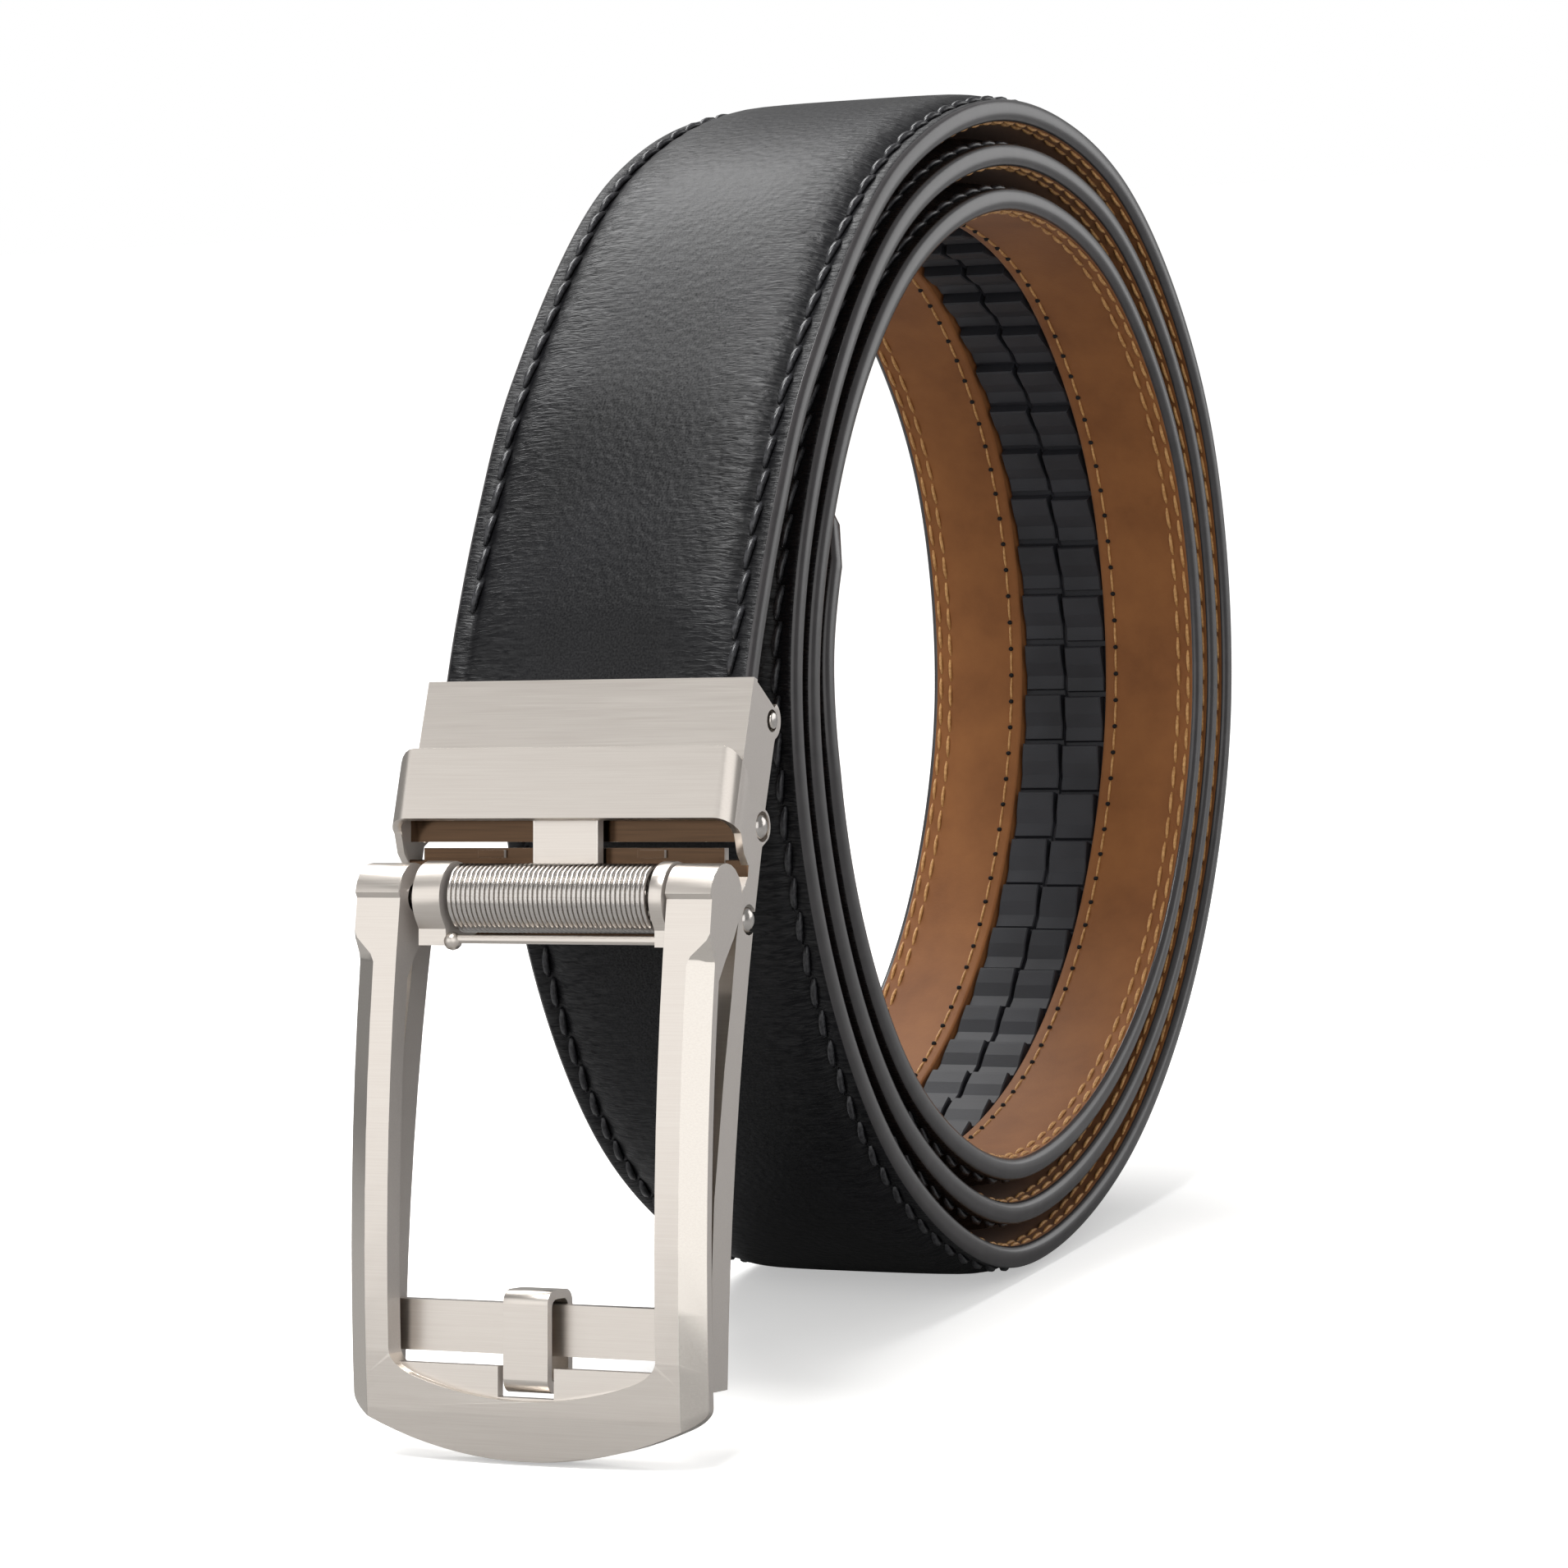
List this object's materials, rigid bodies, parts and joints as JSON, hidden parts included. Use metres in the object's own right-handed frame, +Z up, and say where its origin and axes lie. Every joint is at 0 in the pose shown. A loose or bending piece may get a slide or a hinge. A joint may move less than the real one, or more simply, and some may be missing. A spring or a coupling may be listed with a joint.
{
  "type": "rolled ratchet belt",
  "caption": "Padded leather strap with a ratchet track on its lining, rolled into a coil, with a hinged metal buckle that has an open frame, spring and false prong.",
  "frame": {"origin": "middle of the whole belt from above, at the level of the surface that it stands on", "axes": "+X across the strap, to the right as seen from the buckle; -Y towards the buckle; +Z up"},
  "size_m": [0.04, 0.1608, 0.1312],
  "materials": {
    "black_leather": "fine-grained black leather with a soft sheen",
    "tan_leather": "matt tan lining leather",
    "black_rubber": "moulded black rubber, satin",
    "nickel": "brushed nickel plate with polished bevels",
    "polished_steel": "bright drawn steel"
  },
  "bodies": {
    "belt": {"strap_leather": "black_leather", "strap_lining": "tan_leather", "ratchet_track": "black_rubber", "clamp_box": "nickel", "clamp_flap": "polished_steel", "clamp_pin": "polished_steel"},
    "buckle": {"buckle_base": "nickel", "hinge_pin_right": "polished_steel", "hinge_pin_left": "polished_steel", "base_rivet_right": "polished_steel", "base_rivet_left": "polished_steel", "pawl_tongue": "nickel", "spring_rod": "polished_steel", "return_spring": "polished_steel", "faux_prong": "nickel"},
    "frame": {"front_frame": "nickel"}
  },
  "joints": [
    {"name": "buckle_hinge", "type": "hinge", "parent": "belt", "child": "buckle", "pos_m": [0, -0.05765, 0.06032], "axis": [1, 0, 0], "range_deg": [0, 28]},
    {"name": "frame_lift", "type": "hinge", "parent": "buckle", "child": "frame", "pos_m": [0, -0.06722, 0.05461], "axis": [-1, 0, 0], "range_deg": [0, 35], "stiffness_Nm_per_rad": 0.08, "springref_deg": -20.05}
  ]
}
